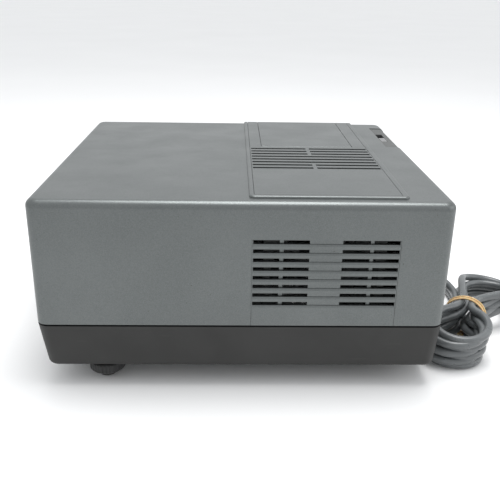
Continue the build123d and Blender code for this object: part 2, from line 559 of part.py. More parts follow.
def fan_impeller():
    """The five-bladed fan wheel with its hub and shaft."""
    body = rod_y(FAN_Y0 + 3, FAN_Y0 + 20, FAN_X, FAN_Z, 12)
    for number in range(5):
        blade = Pos(22, 0, 0) * Rot(32, 0, 0) * Box(26, 18, 1.8)
        turned = Pos(FAN_X, FAN_Y0 + 11.5, FAN_Z) * Rot(0, number * 72, 0) * blade
        body += turned & rod_y(FAN_Y0, FAN_Y0 + 24, FAN_X, FAN_Z, FAN_R)
    return body + rod_y(FAN_Y0 + 19, FAN_Y0 + FAN_DEPTH + 8, FAN_X, FAN_Z, 2.0)


def fan_motor():
    """The fan motor: a laminated stator block with its bearing cap."""
    y0 = FAN_Y0 + FAN_DEPTH
    body = rod_y(y0, y0 + 6, FAN_X, FAN_Z, 9)
    body += block(FAN_X - 22, FAN_X + 22, y0 + 6, y0 + 24, FAN_Z - 16, FAN_Z + 22)
    body += rod_y(y0 + 24, y0 + 30, FAN_X, FAN_Z, 9)
    body += block(FAN_X - 14, FAN_X + 14, y0 + 2, y0 + 28, FAN_Z - 28, FAN_Z - 15.9)
    return body - rod_y(y0 - 1, y0 + 9, FAN_X, FAN_Z, 2.06)


# ---- Transformer --------------------------------------------------------------------------------


def transformer_core():
    """The laminated iron core with its two windows for the windings."""
    x0, x1, y0, y1, z0, z1 = CORE
    body = block(x0, x1, y0, y1, z0, z1)
    middle = (y0 + y1) / 2
    for low, high in ((y0 + 8, middle - 8), (middle + 8, y1 - 8)):
        body -= block(x0 - 1, x1 + 1, low, high, z0 + 12, z1 - 12)
    return body


def transformer_winding():
    """The taped winding on the core's middle limb."""
    x0, x1, y0, y1, z0, z1 = CORE
    middle = (y0 + y1) / 2
    body = block(x0 - 7, x1 + 2.5, y0 + 8.3, y1 - 8.3, z0 + 12.3, z1 - 12.3)
    body = fillet(body.edges().filter_by(Axis.Z), 6)
    return body - block(x0 - 0.1, x1 + 0.1, middle - 8.1, middle + 8.1, z0 + 11, z1 - 11)


def transformer_frame():
    """The pressed steel straps that clamp the core to the base."""
    x0, x1, y0, y1, z0, z1 = CORE
    body = block(x0 + 8, x1 - 8, y0 - 12, y1 + 12, 19.9, 21.9)
    for side in (y0 - 1.7, y1 + 0.1):
        body += block(x0 + 8, x1 - 8, side, side + 1.6, 20, z1 + 1.7)
    body += block(x0 + 8, x1 - 8, y0 - 1.7, y1 + 1.7, z1 + 0.1, z1 + 1.7)
    return body + block(x0 + 4, x1 - 4, y0 + 4, y1 - 4, 21, z0 - 0.05)


# ---- Slide changer ------------------------------------------------------------------------------

def slide_pusher():
    """The rack bar under the channel with the upright finger that pushes the slide."""
    body = block(RACK_X + 0.01, RACK_X + 8, -2, Y1 - 8, 30, 36)
    body += block(GATE_X - 1.2, GATE_X + 1.2, Y1 - 12, Y1 - 8, 30, 104)
    body += block(GATE_X - 1.2, GATE_X + 1.2, Y1 - 22, Y1 - 8, 30, 50)
    teeth = extrude(rack_teeth(RACK_TEETH, GEAR_MODULE), GEAR_T)
    middle = GEAR_Y + STROKE / 2
    return body + Pos(RACK_X, middle, GEAR_Z0) * Rot(0, 0, 90) * teeth


def drive_gear():
    """The large changer gear on its hub, which drives the rack bar."""
    phase = -(FACING - 0.5) * 360 / GEAR_TEETH
    body = gear(GEAR_TEETH, GEAR_MODULE, GEAR_T, phase)
    body += extrude(Circle(5), 7)
    return Pos(GEAR_X, GEAR_Y, GEAR_Z0) * (body - Pos(0, 0, -1) * extrude(Circle(2.06), 12))


def motor_pinion():
    """The small gear on the changer motor's shaft."""
    tooth_step = 360 / GEAR_TEETH
    offset = (180 - (-(FACING - 0.5) * tooth_step)) / tooth_step % 1
    phase = (0.5 - (1 - offset)) * 360 / PINION_TEETH
    body = gear(PINION_TEETH, GEAR_MODULE, GEAR_T, phase) + extrude(Circle(1.5), 16)
    return Pos(PINION_X, GEAR_Y, GEAR_Z0) * body


def drive_motor():
    """The changer motor, standing over its pinion on a gear plate with posts."""
    body = block(PINION_X - 16, GEAR_X + 12, GEAR_Y - 24, GEAR_Y + 24, 42.0, 44.0)
    body += rod_z(43, 68, PINION_X, GEAR_Y, 14)
    body -= rod_z(41, 54, PINION_X, GEAR_Y, 1.6)
    body += rod_z(19.9, 43, GEAR_X, GEAR_Y, 2.0)
    body += rod_z(19.9, 30.7, GEAR_X, GEAR_Y, 5.0)
    for x in (PINION_X - 13, GEAR_X):
        for y in (GEAR_Y - 21, GEAR_Y + 21):
            body += rod_z(19.9, 43, x, y, 2.2)
    return body


def mechanism_plate():
    """The steel plate with the rack bar's two guides and the legs of the tray wheel."""
    x0, y0 = RACK_X - 0.5, CHANNEL_Y - 2
    body = block(x0, RACK_X + 14, GUIDE_YS[0], y0 + 30, 19.9, 22)
    body += block(x0, TRAY_GEAR_X + 14, y0, y0 + 30, 19.9, 22)
    for y in GUIDE_YS:
        guide = block(x0, RACK_X + 14, y, y + 10, 21, 40)
        guide -= block(RACK_X - 2, RACK_X + 8.06, y - 1, y + 11, 29.94, 36.06)
        body += guide - block(GATE_X - 1.7, GATE_X + 1.7, y - 1, y + 11, 35, 41)
    for y0, y1 in ((CHANNEL_Y, CHANNEL_Y + 3), (CHANNEL_Y + 19, CHANNEL_Y + 22)):
        leg = block(TRAY_GEAR_X - 7, TRAY_GEAR_X + 7, y0, y1, 21, 52.5)
        body += leg - rod_y(y0 - 1, y1 + 1, TRAY_GEAR_X, TRAY_GEAR_Z, 2.06)
    return body


# ---- Electronics --------------------------------------------------------------------------------


def circuit_board():
    """The control board on its four stand-offs."""
    x0, x1, y0, y1, z0, z1 = BOARD
    body = block(*BOARD)
    for x in (x0 + 5, x1 - 5):
        for y in (y0 + 5, y1 - 5):
            body += rod_z(19.9, z0, x, y, 3)
    return body


def board_parts():
    """Capacitors, relay, heat sink and connectors standing on the board."""
    x0, x1, y0, y1, z0, z1 = BOARD
    top = z1 + 0.02
    pieces = [rod_z(top, top + 30, x0 + 22, y0 + 24, 10), rod_z(top, top + 22, x0 + 45, y0 + 20, 7)]
    pieces.append(block(x0 + 58, x0 + 76, y0 + 12, y0 + 27, top, top + 16))
    pieces.append(block(x1 - 28, x1 - 8, y0 + 32, y0 + 40, top, top + 9))
    sink = block(x0 + 14, x0 + 50, y1 - 22, y1 - 19, top, top + 26)
    for number in range(7):
        x = x0 + 14 + number * 5.75
        sink += block(x, x + 1.5, y1 - 32, y1 - 18, top + 2, top + 26)
    pieces.append(sink)
    return Compound(pieces)


# ---- Rear panel ---------------------------------------------------------------------------------

def control_panel():
    """The dark recessed panel at the rear, bored for its buttons, socket and fuse."""
    body = block(X1 - 3.2, X1 - 1.2, PANEL_Y0 + 0.2, PANEL_Y1 - 0.2, PANEL_Z0 + 0.2, PANEL_Z1 - 0.2)
    body += block(X1 - 4.2, X1 - WALL - 0.1, PANEL_Y0 - 3, PANEL_Y1 + 3, PANEL_Z0 - 3, PANEL_Z1 + 3)
    for y in BUTTON_PLACES.values():
        body += rod_x(X1 - 9, X1 - 3, y, BUTTON_Z, BUTTON_R + 1.6)
        body -= rod_x(X1 - 10, X1, y, BUTTON_Z, BUTTON_R + 0.06)
    body -= rod_x(X1 - 10, X1, SOCKET_Y, SOCKET_Z, SOCKET_R + 1.5)
    body -= rod_x(X1 - 10, X1, FUSE_Y, FUSE_Z, FUSE_R - 1.0)
    return body


def push_button(y):
    """A round push button with its stem, flush with the case when it is out."""
    body = rod_x(X1 - 4.0, X1 - 0.1, y, BUTTON_Z, BUTTON_R)
    body = fillet(body.edges().filter_by(GeomType.CIRCLE).sort_by(Axis.X)[-1], 0.8)
    body += rod_x(X1 - 6.9, X1 - 3.9, y, BUTTON_Z, BUTTON_R - 0.4)
    return body + rod_x(X1 - 12, X1 - 6, y, BUTTON_Z, 1.5)


def button_block():
    """The switch block behind the buttons: a board with one plunger hole for each."""
    body = block(X1 - 22, X1 - 12.2, PANEL_Y0 + 2, PANEL_Y1 - 2, BUTTON_Z - 7, BUTTON_Z + 7)
    for y in BUTTON_PLACES.values():
        body -= rod_x(X1 - 17, X1 - 11, y, BUTTON_Z, 1.8)
    for y in (PANEL_Y0 + 2, PANEL_Y1 - 2):
        body += block(X1 - 13, X1 - 4.3, y - 1.5, y + 1.5, BUTTON_Z - 6, BUTTON_Z + 6)
    return body


def remote_socket():
    """The round socket for the remote control, with its five contact holes."""
    outer = SOCKET_R + 1.4
    body = rod_x(X1 - 1.2 - SOCKET_DEPTH - 4, X1 - 0.6, SOCKET_Y, SOCKET_Z, outer)
    body -= rod_x(X1 - 0.6 - SOCKET_DEPTH, X1, SOCKET_Y, SOCKET_Z, SOCKET_R)
    for number in range(5):
        angle = math.radians(number * 45)
        y = SOCKET_Y + 4.2 * math.cos(angle)
        z = SOCKET_Z - 4.2 * math.sin(angle)
        body -= rod_x(X1 - 13, X1, y, z, 0.8)
    return body


def fuse_holder():
    """The fuse holder: a threaded body behind the panel and a slotted cap in front of it."""
    body = rod_x(X1 - 30, X1 - 1.1, FUSE_Y, FUSE_Z, FUSE_R - 1.1)
    body += rod_x(X1 - 1.15, X1 - 0.1, FUSE_Y, FUSE_Z, FUSE_R)
    return body - block(X1 - 0.9, X1 + 1, FUSE_Y - 4, FUSE_Y + 4, FUSE_Z - 0.6, FUSE_Z + 0.6)


# ---- Feet and fasteners ---------------------------------------------------------------------------

def foot_pad(y):
    """The domed pad that an adjustable foot stands on, with its non-turning core."""
    dome = Pos(FOOT_X, y, 9.5) * Sphere(9.5)
    body = dome & block(FOOT_X - 9, FOOT_X + 9, y - 9, y + 9, 0, 6.5)
    return body + rod_z(6, 30, FOOT_X, y, 2.5)


def foot_wheel(y):
    """The knurled wheel of an adjustable foot with its hollow threaded stem."""
    body = rod_z(7.0, 14.8, FOOT_X, y, WHEEL_R)
    body = chamfer(body.edges().filter_by(GeomType.CIRCLE), 1.2)
    notches = []
    for number in range(30):
        angle = math.radians(number * 12)
        x0, y0 = FOOT_X + (WHEEL_R + 0.25) * math.cos(angle), y + (WHEEL_R + 0.25) * math.sin(angle)
        notches.append(rod_z(5, 17, x0, y0, 0.75))
    body -= notches
    body += rod_z(14.5, 43, FOOT_X, y, 5.0)
    return body - rod_z(5, 31, FOOT_X, y, 2.56)


def rear_foot(y):
    """A plain rubber foot with a screw hole up its middle."""
    body = cone_z(0, Z_BASE - 0.05, REAR_FOOT_X, y, REAR_FOOT_R - 1, REAR_FOOT_R)
    body = fillet(body.edges().sort_by(Axis.Z)[0], 1.5)
    body -= rod_z(-1, 7, REAR_FOOT_X, y, 3.6)
    return body - rod_z(6, 20, REAR_FOOT_X, y, 1.9)


def screws():
    """The four case screws and the two rear foot screws."""
    pieces = []
    for x, y in SCREW_PLACES:
        head = rod_z(Z_BASE + 0.4, Z_BASE + 2.1, x, y, 3.6) + rod_z(Z_BASE + 2, 66, x, y, 1.5)
        pieces.append(head - block(x - 2, x + 2, y - 0.4, y + 0.4, Z_BASE, Z_BASE + 1.3))
    for y in (-REAR_FOOT_Y, REAR_FOOT_Y):
        pieces.append(rod_z(4.5, 6.9, REAR_FOOT_X, y, 3.4) + rod_z(6.8, 23, REAR_FOOT_X, y, 1.5))
    return Compound(pieces)


# ---- Mains lead ----------------------------------------------------------------------------------


def corner_radii(points):
    """The arc radius at each corner: 0.45 of the shorter run over the tangent of half the turn."""
    radii = []
    for a, b, c in zip(points, points[1:], points[2:]):
        before, after = Vector(*b) - Vector(*a), Vector(*c) - Vector(*b)
        half_turn = math.radians(before.get_angle(after)) / 2
        radii.append(0.45 * min(before.length, after.length) / math.tan(half_turn))
    return radii


def cord_run(name, points):
    """A length of round cord along straight runs joined by tangent arcs."""
    radii = corner_radii(points)
    path = FilletPolyline(*points, radius=radii)
    tube = sweep(Plane(origin=path @ 0, z_dir=path % 0) * Circle(CORD_D / 2), path=path)
    section = math.pi * CORD_D ** 2 / 4
    print(name, "radii", [round(r, 1) for r in radii], "length", round(path.length, 1),
          "volume over section x length", round(tube.volume / (section * path.length), 4))
    return tube


def cord_hank():
    """The outside of the folded and tied lead: narrow at the band, fuller at both ends."""
    sections = []
    for along, across, width, height, middle in HANK_SECTIONS:
        plane = Plane(origin=(along, across, middle), x_dir=(0, 1, 0), z_dir=(1, 0, 0))
        sections.append(plane * Ellipse(width / 2, height / 2))
    return Pos(HANK_X, HANK_Y, 0) * Rot(0, 0, HANK_AZ) * loft(sections)


def rubber_band():
    """The band that ties the folded lead at its middle."""
    plane = Plane(origin=(-4, 0, 18.5), x_dir=(0, 1, 0), z_dir=(1, 0, 0))
    outer = extrude(plane * Ellipse(18.2, 18.2), 8)
    inner = extrude(plane * Ellipse(16.9, 17.2), 8)
    return Pos(HANK_X, HANK_Y, 0) * Rot(0, 0, HANK_AZ) * (outer - inner)


def cord_gland():
    """The clamp and the tapered sleeve that the lead leaves the base through."""
    body = rod_x(POCKET_X - 6, POCKET_X, GLAND_Y, GLAND_Z, 4.9)
    body += rod_x(POCKET_X + 0.05, POCKET_X + 3, GLAND_Y, GLAND_Z, 7.5)
    body += rod_x(POCKET_X - 9, POCKET_X - 2.05, GLAND_Y, GLAND_Z, 7.0)
    sleeve = Pos((POCKET_X + 2.9 + BOOT_END) / 2, GLAND_Y, GLAND_Z) * Rot(0, 90, 0)
    return body + sleeve * Cone(6.2, 4.2, BOOT_END - POCKET_X - 2.9)


def mains_plug():
    """The two-pin round plug with its finger waist."""
    y0, y1 = PLUG_Y0, PLUG_Y0 + PLUG_L
    body = rod_y(y0 + 14, y1, PLUG_X, PLUG_Z, PLUG_R)
    body += Pos(PLUG_X, y0 + 7.5, PLUG_Z) * Rot(90, 0, 0) * Cone(15.5, 6.0, 15)
    for x in (PLUG_X - 9.5, PLUG_X + 9.5):
        body += rod_y(y1 - 1, y1 + 19, x, PLUG_Z, 2.4)
    for x in (PLUG_X - PLUG_R, PLUG_X + PLUG_R):
        body -= block(x - 2, x + 2, y0 + 16, y1 + 1, PLUG_Z - 3, PLUG_Z + 3)
    return body


# ---- All the pieces --------------------------------------------------------------------------------

os.makedirs("parts", exist_ok=True)

write("base_tray", base_tray())
write("top_cover", top_cover())
write("vent_panel", vent_panel())
write("lamp_cover", lamp_cover())
write("lamp_hatch", lamp_hatch())
write("switch_plate", switch_plate())
write("power_rocker", power_rocker())
write("switch_body", switch_body())
write("tray_channel", tray_channel())
write("tray_gear", tray_gear())
write("lens_barrel", lens_barrel())
write("front_lens", glass(BARREL_X0 + 6.5, 18.9, 3.2, 3.0))
write("rear_lens", glass(BARREL_X1 - 3.5, 18.4, 2.0, 2.4))
write("focus_ring", focus_ring())
write("lens_bezel", lens_bezel())
write("lens_holder", lens_holder())
write("focus_pinion", focus_pinion())
write("focus_motor", focus_motor())
write("slide_gate", slide_gate())
write("pressure_plate", pressure_plate())
write("lamp_house", lamp_house())
write("optics_frame", optics_frame())
write("heat_filter", heat_filter())
write("front_condenser", glass(19.0, 21.4, 6.0, 3.0))
write("rear_condenser", glass(34.5, 21.4, 5.0, 2.5))
write("halogen_lamp", lamp())
write("lamp_socket", lamp_socket())
write("reflector", reflector())
write("fan_housing", fan_housing())
write("fan_impeller", fan_impeller())
write("fan_motor", fan_motor())
write("transformer_core", transformer_core())
write("transformer_winding", transformer_winding())
write("transformer_frame", transformer_frame())
write("slide_pusher", slide_pusher())
write("drive_gear", drive_gear())
write("motor_pinion", motor_pinion())
write("drive_motor", drive_motor())
write("mechanism_plate", mechanism_plate())
write("circuit_board", circuit_board())
write("board_parts", board_parts())
write("control_panel", control_panel())
write("button_block", button_block())
for button, place in BUTTON_PLACES.items():
    write(button, push_button(place))
write("remote_socket", remote_socket())
write("fuse_holder", fuse_holder())
for side, place in (("near", -FOOT_Y), ("far", FOOT_Y)):
    write(f"foot_pad_{side}", foot_pad(place))
    write(f"foot_wheel_{side}", foot_wheel(place))
write("rear_feet", Compound([rear_foot(-REAR_FOOT_Y), rear_foot(REAR_FOOT_Y)]))
write("screws", screws())
write("cord_gland", cord_gland())
write("mains_cord", Compound([cord_run("lead", LEAD), cord_run("tail", TAIL)]))
write("cord_hank", cord_hank())
write("rubber_band", rubber_band())
write("mains_plug", mains_plug())
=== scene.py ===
"""The look of the slide projector: its mains lead, its small details and its materials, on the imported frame."""
import json
import math

import bpy
from mathutils import Matrix, Vector


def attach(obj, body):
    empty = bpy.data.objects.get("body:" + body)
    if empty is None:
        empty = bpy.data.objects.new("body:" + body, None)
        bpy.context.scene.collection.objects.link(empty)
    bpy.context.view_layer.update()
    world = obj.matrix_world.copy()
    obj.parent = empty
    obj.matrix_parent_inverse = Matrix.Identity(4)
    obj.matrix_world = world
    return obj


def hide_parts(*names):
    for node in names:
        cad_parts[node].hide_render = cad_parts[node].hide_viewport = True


MM = 0.001

# The lead, in metres: its route from the gland to the hank, and from the hank to the plug.
CORD_D = 0.0065
LEAD = ((0.153, 0.012, 0.037), (0.169, 0.012, 0.036), (0.184, 0.0055, 0.033), (0.195, -0.0065, 0.0285),
        (0.1995, -0.022, 0.0255))
TAIL = ((0.207, -0.027, 0.0055), (0.2085, -0.009, 0.0045), (0.2105, 0.009, 0.0045), (0.2105, 0.027, 0.0045),
        (0.205, 0.045, 0.0075), (0.196, 0.062, 0.0135), (0.187, 0.080, 0.0182))

# The hank lies beside the case: its middle, its direction, and the height of the middle of its band.
HANK_MIDDLE = (0.199, -0.055)
HANK_TURN = math.radians(62.2)
BAND_Z = 0.0185

# Where the strands pass through the band, in strands across and rows up from its middle, with each one's
# rank in its stack from the top. The lead runs in on the high side, and each turn joins the two sides.
STRAND, ROW = 0.0076, 0.0062
HIGH_SIDE = ((1, 1, 1), (0.5, 2, 0), (0, 1, 2), (1.5, 0, 3), (0.5, 0, 4), (1, -1, 5), (0.5, -2, 6))
LOW_SIDE = ((-1, 1, 1), (-0.5, 2, 0), (-0.5, 0, 2), (-1.5, 0, 3), (0, -1, 4), (-1, -1, 5), (-0.5, -2, 6))

# A strand leaves the band along a short neck, which starts its way out to its stack.
NECK = 0.012
NECK_SHARE = 0.15

# The folds at each end of the hank: how far across their two sides lie, the heights of the top and bottom
# strands, and how far along they reach. They fan out: FAN moves each rank across, and FURTHER moves it along.
NEAR_SIDES, NEAR_HEIGHTS, NEAR_REACH = (0.0235, -0.0195), (0.0325, 0.0036), 0.059
FAR_SIDES, FAR_HEIGHTS, FAR_REACH = (0.014, -0.029), (0.0345, 0.0105), 0.063
FAN = (-0.0048, -0.0016, -0.0032, 0.0008, -0.0024, 0.0016, -0.0008)
FURTHER = (0.0, 0.004, 0.001, 0.0045, 0.0005, 0.004, 0.001)
TIP_SAG = 0.25
FOLD_STEP = math.radians(29)

# Where the lead comes into the hank and where it leaves it, along, across and up.
HANK_IN = (0.014, 0.0105, 0.0262)
HANK_OUT = (0.014, -0.003, 0.0052)

# The rubber band: its turns round the hank, the radius of its loops, how far they wander and its section.
BAND_WRAPS, BAND_STEPS = 4, 72
BAND_R, BAND_SWELL, BAND_FLAT = 0.0168, 0.0004, 0.992
BAND_DRIFT, BAND_WOBBLE = 0.0026, 0.0006
BAND_SECTION = ((0.0011, -0.0004), (0.0011, 0.0003), (0.0008, 0.0005), (-0.0008, 0.0005), (-0.0011, 0.0003),
                (-0.0011, -0.0004))

CAMERA_PLACE = (0.00237, -0.56232, 0.27877)
CAMERA_LENS, CAMERA_SENSOR = 48.69, 36.0
CAMERA_PITCH, CAMERA_YAW, CAMERA_ROLL = 0.37825, 0.028055, 0.017135

# Each soft light's place, size and power, the point that they face, and the surround's brightness.
KEY_LIGHT = ((0.10, 0.05, 1.10), 0.7, 11.0)
SIDE_LIGHT = ((1.3, -0.35, 0.65), 0.8, 2.5)
LIT_POINT = (0.0, 0.0, 0.05)
SURROUND = 0.98
FLOOR_HALF = 16.0


# ---- Camera, floor and light -----------------------------------------------------------------------

def add(name, data):
    """Puts new data into the scene as an object."""
    thing = bpy.data.objects.new(name, data)
    bpy.context.scene.collection.objects.link(thing)
    return thing


def aim_camera():
    """The camera, from its place, pitch, yaw and roll."""
    data = bpy.data.cameras.new("camera")
    data.sensor_width = CAMERA_SENSOR
    data.lens = CAMERA_LENS
    camera = add("camera", data)
    level = Matrix.Rotation(-CAMERA_YAW, 4, "Z") @ Matrix.Rotation(math.pi / 2 - CAMERA_PITCH, 4, "X")
    camera.matrix_world = Matrix.Translation(CAMERA_PLACE) @ level @ Matrix.Rotation(CAMERA_ROLL, 4, "Z")
    bpy.context.scene.camera = camera


def softbox(name, place, size, power):
    """A square soft light that faces the projector."""
    data = bpy.data.lights.new(name, "AREA")
    data.size = size
    data.energy = power
    light = add(name, data)
    light.location = place
    light.rotation_euler = (Vector(LIT_POINT) - Vector(place)).to_track_quat("-Z", "Y").to_euler()


def light_studio():
    """An even pale surround, a large soft light above, and a weak one from the right."""
    world = bpy.data.worlds.new("studio")
    world.use_nodes = True
    surround = world.node_tree.nodes["Background"]
    surround.inputs["Color"].default_value = (0.97, 0.985, 1.0, 1.0)
    surround.inputs["Strength"].default_value = SURROUND
    bpy.context.scene.world = world
    softbox("key", *KEY_LIGHT)
    softbox("side", *SIDE_LIGHT)
    bpy.context.scene.view_settings.view_transform = "Standard"


def lay_floor():
    """The plain pale floor."""
    mesh = bpy.data.meshes.new("floor")
    corner = (-FLOOR_HALF, FLOOR_HALF)
    places = [(corner[0], corner[0], 0), (corner[1], corner[0], 0), (corner[1], corner[1], 0),
              (corner[0], corner[1], 0)]
    mesh.from_pydata(places, [], [(0, 1, 2, 3)])
    floor = add("floor", mesh)
    mesh.materials.append(FINISHES["floor_paper"])


# ---- Material tools --------------------------------------------------------------------------------

def start(name, sockets):
    """A node material whose shader has these plain numbers and colours."""
    material = bpy.data.materials.new(name)
    material.use_nodes = True
    tree = material.node_tree
    shader = tree.nodes["Principled BSDF"]
    for socket, value in sockets.items():
        shader.inputs[socket].default_value = value
    return material, tree, shader


def place(tree, stretch=(1.0, 1.0, 1.0)):
    """The object's own coordinates in metres, stretched along each axis."""
    source = tree.nodes.new("ShaderNodeTexCoord")
    mapping = tree.nodes.new("ShaderNodeMapping")
    mapping.inputs["Scale"].default_value = stretch
    tree.links.new(source.outputs["Object"], mapping.inputs["Vector"])
    return mapping.outputs["Vector"]


def noise(tree, size, detail=2.0, stretch=(1.0, 1.0, 1.0)):
    """A soft random pattern with features of this size in metres."""
    texture = tree.nodes.new("ShaderNodeTexNoise")
    texture.inputs["Scale"].default_value = 1 / size
    texture.inputs["Detail"].default_value = detail
    tree.links.new(place(tree, stretch), texture.inputs["Vector"])
    return texture.outputs[0]


def cells(tree, size, stretch=(1.0, 1.0, 1.0)):
    """Random cells of this size in metres: each one's distance from its middle, and its own colour."""
    texture = tree.nodes.new("ShaderNodeTexVoronoi")
    texture.inputs["Scale"].default_value = 1 / size
    tree.links.new(place(tree, stretch), texture.inputs["Vector"])
    return texture.outputs["Distance"], texture.outputs["Color"]


def spread(tree, value, low, high, start_at=0.3, end_at=0.7):
    """Maps a pattern onto a range of numbers."""
    node = tree.nodes.new("ShaderNodeMapRange")
    node.inputs["From Min"].default_value = start_at
    node.inputs["From Max"].default_value = end_at
    node.inputs["To Min"].default_value = low
    node.inputs["To Max"].default_value = high
    tree.links.new(value, node.inputs["Value"])
    return node.outputs["Result"]


def tint(tree, value, dark, light):
    """Two colours, mixed by a pattern. Each may be a colour or another node's output."""
    node = tree.nodes.new("ShaderNodeMix")
    node.data_type = "RGBA"
    tree.links.new(value, node.inputs["Factor"])
    for socket, colour in (("A", dark), ("B", light)):
        target = [s for s in node.inputs if s.name == socket and s.type == "RGBA"][0]
        if isinstance(colour, tuple):
            target.default_value = (*colour, 1.0)
        else:
            tree.links.new(colour, target)
    return [s for s in node.outputs if s.type == "RGBA"][0]


def relief(tree, shader, *heights):
    """Bumps of these patterns, each with its depth in metres."""
    normal = None
    for pattern, depth in heights:
        bump = tree.nodes.new("ShaderNodeBump")
        bump.inputs["Distance"].default_value = depth
        tree.links.new(pattern, bump.inputs["Height"])
        if normal is not None:
            tree.links.new(normal, bump.inputs["Normal"])
        normal = bump.outputs["Normal"]
    tree.links.new(normal, shader.inputs["Normal"])


def moulded(name, dark, light, rough, grain=0.5, depth=0.02, patch=30.0, stretch=(1.0, 1.0, 1.0), **sockets):
    """A material with cloudy colour, uneven gloss and a fine grain. Sizes are in millimetres."""
    plain = {socket.replace("_", " "): value for socket, value in sockets.items()}
    material, tree, shader = start(name, plain)
    cloud = spread(tree, noise(tree, patch * MM, 4.0, stretch), 0.0, 1.0)
    tree.links.new(tint(tree, cloud, dark, light), shader.inputs["Base Color"])
    rubbed = spread(tree, noise(tree, patch * 0.4 * MM, 3.0, stretch), *rough)
    tree.links.new(rubbed, shader.inputs["Roughness"])
    relief(tree, shader, (noise(tree, grain * MM, 2.0, stretch), depth * MM))
    return material


# ---- Materials ---------------------------------------------------------------------------------------

def silver_paint():
    """Metallic grey paint: tiny flakes, a faint orange peel, cloudy handling marks and a few specks of dirt."""
    material, tree, shader = start("silver_paint", {"Metallic": 0.8})
    cloud = spread(tree, noise(tree, 0.07, 4.0), 0.0, 1.0)
    paint = tint(tree, cloud, (0.112, 0.122, 0.121), (0.126, 0.136, 0.135))
    distance, colour = cells(tree, 0.00045)
    flake = spread(tree, colour, 0.0, 0.5, 0.2, 1.0)
    flaked = tint(tree, flake, paint, (0.19, 0.20, 0.20))
    speck = spread(tree, noise(tree, 0.0022, 1.0), 0.0, 0.75, 0.76, 0.80)
    tree.links.new(tint(tree, speck, flaked, (0.06, 0.057, 0.05)), shader.inputs["Base Color"])
    tree.links.new(spread(tree, noise(tree, 0.03, 3.0), 0.33, 0.41), shader.inputs["Roughness"])
    relief(tree, shader, (noise(tree, 0.0016, 1.0), 0.000012), (distance, 0.00001))
    return material


def black_shell():
    """Grained dark plastic with faint scuffs."""
    material, tree, shader = start("black_shell", {"Specular IOR Level": 0.35})
    cloud = spread(tree, noise(tree, 0.05, 4.0), 0.0, 1.0)
    plastic = tint(tree, cloud, (0.024, 0.024, 0.023), (0.030, 0.030, 0.029))
    scuff = spread(tree, noise(tree, 0.004, 2.0, (0.12, 1.0, 1.0)), 0.0, 0.35, 0.66, 0.78)
    tree.links.new(tint(tree, scuff, plastic, (0.055, 0.054, 0.051)), shader.inputs["Base Color"])
    tree.links.new(spread(tree, noise(tree, 0.02, 3.0), 0.5, 0.62), shader.inputs["Roughness"])
    distance, _ = cells(tree, 0.0006)
    relief(tree, shader, (distance, 0.00003))
    return material


def laminated_iron():
    """The transformer's stacked sheets, seen as fine dark and bright lines."""
    material, tree, shader = start("core_iron", {"Metallic": 0.7})
    wave = tree.nodes.new("ShaderNodeTexWave")
    wave.inputs["Scale"].default_value = 330.0
    wave.inputs["Distortion"].default_value = 0.6
    wave.inputs["Detail"].default_value = 2.0
    tree.links.new(place(tree), wave.inputs["Vector"])
    tree.links.new(tint(tree, wave.outputs["Fac"], (0.10, 0.095, 0.09), (0.30, 0.29, 0.28)),
                   shader.inputs["Base Color"])
    tree.links.new(spread(tree, noise(tree, 0.004), 0.35, 0.55), shader.inputs["Roughness"])
    relief(tree, shader, (wave.outputs["Fac"], 0.00008))
    return material


def wound_tape():
    """Yellow polyester tape over the winding, in overlapping turns."""
    material, tree, shader = start("winding_tape", {"Coat Weight": 0.3, "Coat Roughness": 0.2})
    wave = tree.nodes.new("ShaderNodeTexWave")
    wave.bands_direction = "Z"
    wave.inputs["Scale"].default_value = 24.0
    wave.inputs["Distortion"].default_value = 1.5
    tree.links.new(place(tree), wave.inputs["Vector"])
    tree.links.new(tint(tree, wave.outputs["Fac"], (0.46, 0.31, 0.07), (0.66, 0.48, 0.14)),
                   shader.inputs["Base Color"])
    tree.links.new(spread(tree, noise(tree, 0.006), 0.3, 0.5), shader.inputs["Roughness"])
    relief(tree, shader, (wave.outputs["Fac"], 0.0001), (noise(tree, 0.002), 0.0001))
    return material


def cord_sheath():
    """The lead's glossy grey sheath, slightly dusty, with faint rub marks."""
    material, tree, shader = start("cord_grey", {"Specular IOR Level": 0.55, "Coat Weight": 0.15,
                                                 "Coat Roughness": 0.12})
    cloud = spread(tree, noise(tree, 0.012, 3.0), 0.0, 1.0)
    sheath = tint(tree, cloud, (0.086, 0.093, 0.096), (0.110, 0.118, 0.121))
    dust = spread(tree, noise(tree, 0.0014, 3.0), 0.0, 0.3, 0.6, 0.8)
    tree.links.new(tint(tree, dust, sheath, (0.18, 0.18, 0.17)), shader.inputs["Base Color"])
    tree.links.new(spread(tree, noise(tree, 0.008, 3.0), 0.24, 0.40), shader.inputs["Roughness"])
    relief(tree, shader, (noise(tree, 0.003, 2.0), 0.00006))
    return material


def old_rubber():
    """The beige rubber band, darker where it has dried out, with streaks along it."""
    material, tree, shader = start("band_rubber", {"Subsurface Weight": 0.12, "Subsurface Scale": 0.002})
    cloud = spread(tree, noise(tree, 0.004, 4.0), 0.0, 1.0)
    rubber = tint(tree, cloud, (0.42, 0.27, 0.115), (0.62, 0.44, 0.22))
    streak = spread(tree, noise(tree, 0.0008, 2.0, (0.4, 1.0, 1.0)), 0.0, 0.5, 0.5, 0.75)
    tree.links.new(tint(tree, streak, rubber, (0.36, 0.22, 0.09)), shader.inputs["Base Color"])
    tree.links.new(spread(tree, noise(tree, 0.003), 0.45, 0.65), shader.inputs["Roughness"])
    relief(tree, shader, (noise(tree, 0.0007, 2.0), 0.0001))
    return material


